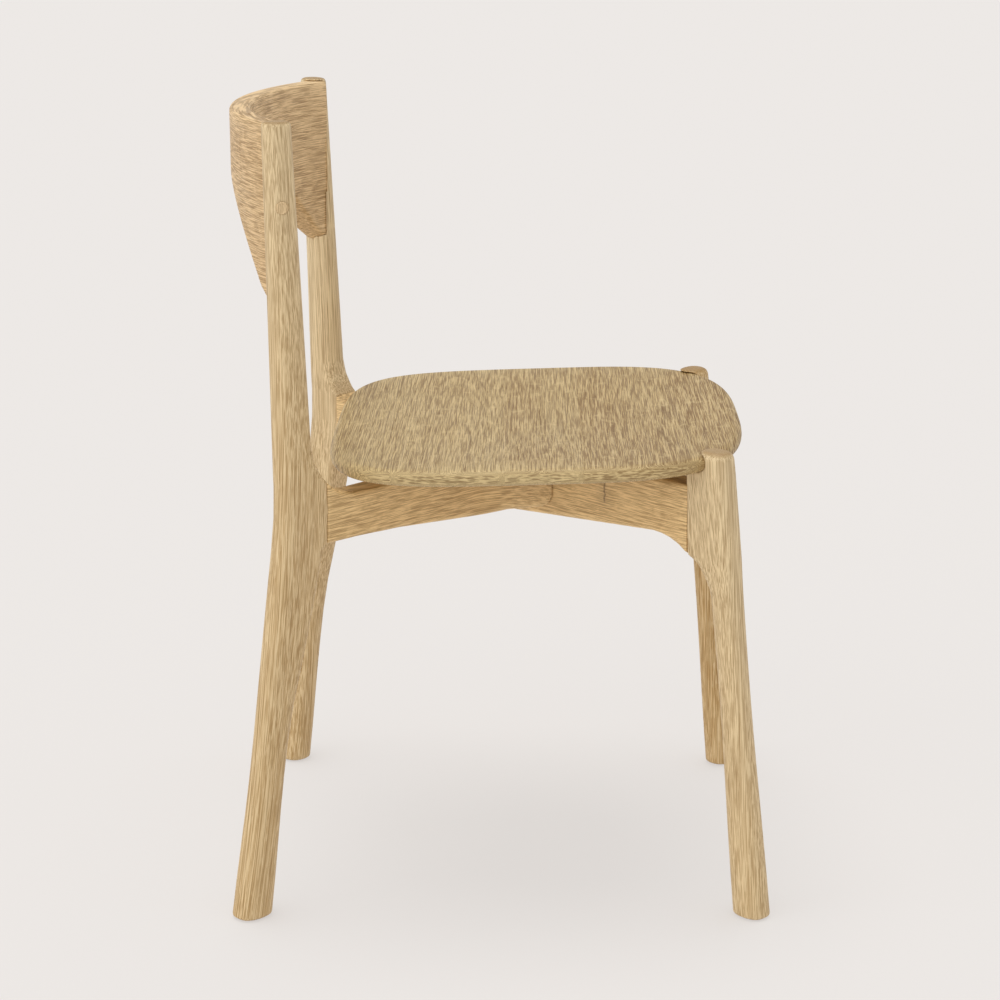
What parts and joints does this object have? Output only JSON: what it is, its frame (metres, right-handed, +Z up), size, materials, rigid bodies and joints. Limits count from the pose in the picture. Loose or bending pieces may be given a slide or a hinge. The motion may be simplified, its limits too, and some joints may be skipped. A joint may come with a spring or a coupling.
{
  "type": "dining chair",
  "caption": "Solid oak dining chair: a dished board seat on crossed diagonal beams, rear legs that rise as posts to a curved backrest, and front legs slotted around the seat's corners.",
  "frame": {"origin": "on the floor, under the middle of the chair's box", "axes": "+Z up; the sitter faces -Y; +X is the sitter's left"},
  "size_m": [0.482, 0.5367, 0.78],
  "materials": {
    "oak": "matt oiled oak",
    "back_oak": "matt oiled oak, bent lamination, a little browner",
    "beech_dowel": "bare beech",
    "zinc_steel": "zinc plated",
    "glide_plastic": "brown moulded plastic"
  },
  "bodies": {
    "root": {"back_dowel_left_1": "beech_dowel", "back_dowel_left_2": "beech_dowel", "back_dowel_right_1": "beech_dowel", "back_dowel_right_2": "beech_dowel", "back_screw_left": "zinc_steel", "back_screw_right": "zinc_steel", "backrest": "back_oak", "cross_beam_lower": "oak", "cross_beam_upper": "oak", "front_dowel_left_1": "beech_dowel", "front_dowel_left_2": "beech_dowel", "front_dowel_right_1": "beech_dowel", "front_dowel_right_2": "beech_dowel", "front_glide_left": "glide_plastic", "front_glide_right": "glide_plastic", "front_leg_left": "oak", "front_leg_right": "oak", "post_plug_left": "oak", "post_plug_right": "oak", "rear_dowel_left_1": "beech_dowel", "rear_dowel_left_2": "beech_dowel", "rear_dowel_right_1": "beech_dowel", "rear_dowel_right_2": "beech_dowel", "rear_glide_left": "glide_plastic", "rear_glide_right": "glide_plastic", "rear_leg_left": "oak", "rear_leg_right": "oak", "seat_screw_front_left": "zinc_steel", "seat_screw_front_right": "zinc_steel", "seat_screw_rear_left": "zinc_steel", "seat_screw_rear_right": "zinc_steel", "seat_stave_1": "oak", "seat_stave_2": "oak", "seat_stave_3": "oak", "seat_stave_4": "oak", "seat_stave_5": "oak", "seat_washer_front_left": "zinc_steel", "seat_washer_front_right": "zinc_steel", "seat_washer_rear_left": "zinc_steel", "seat_washer_rear_right": "zinc_steel"}
  },
  "joints": []
}
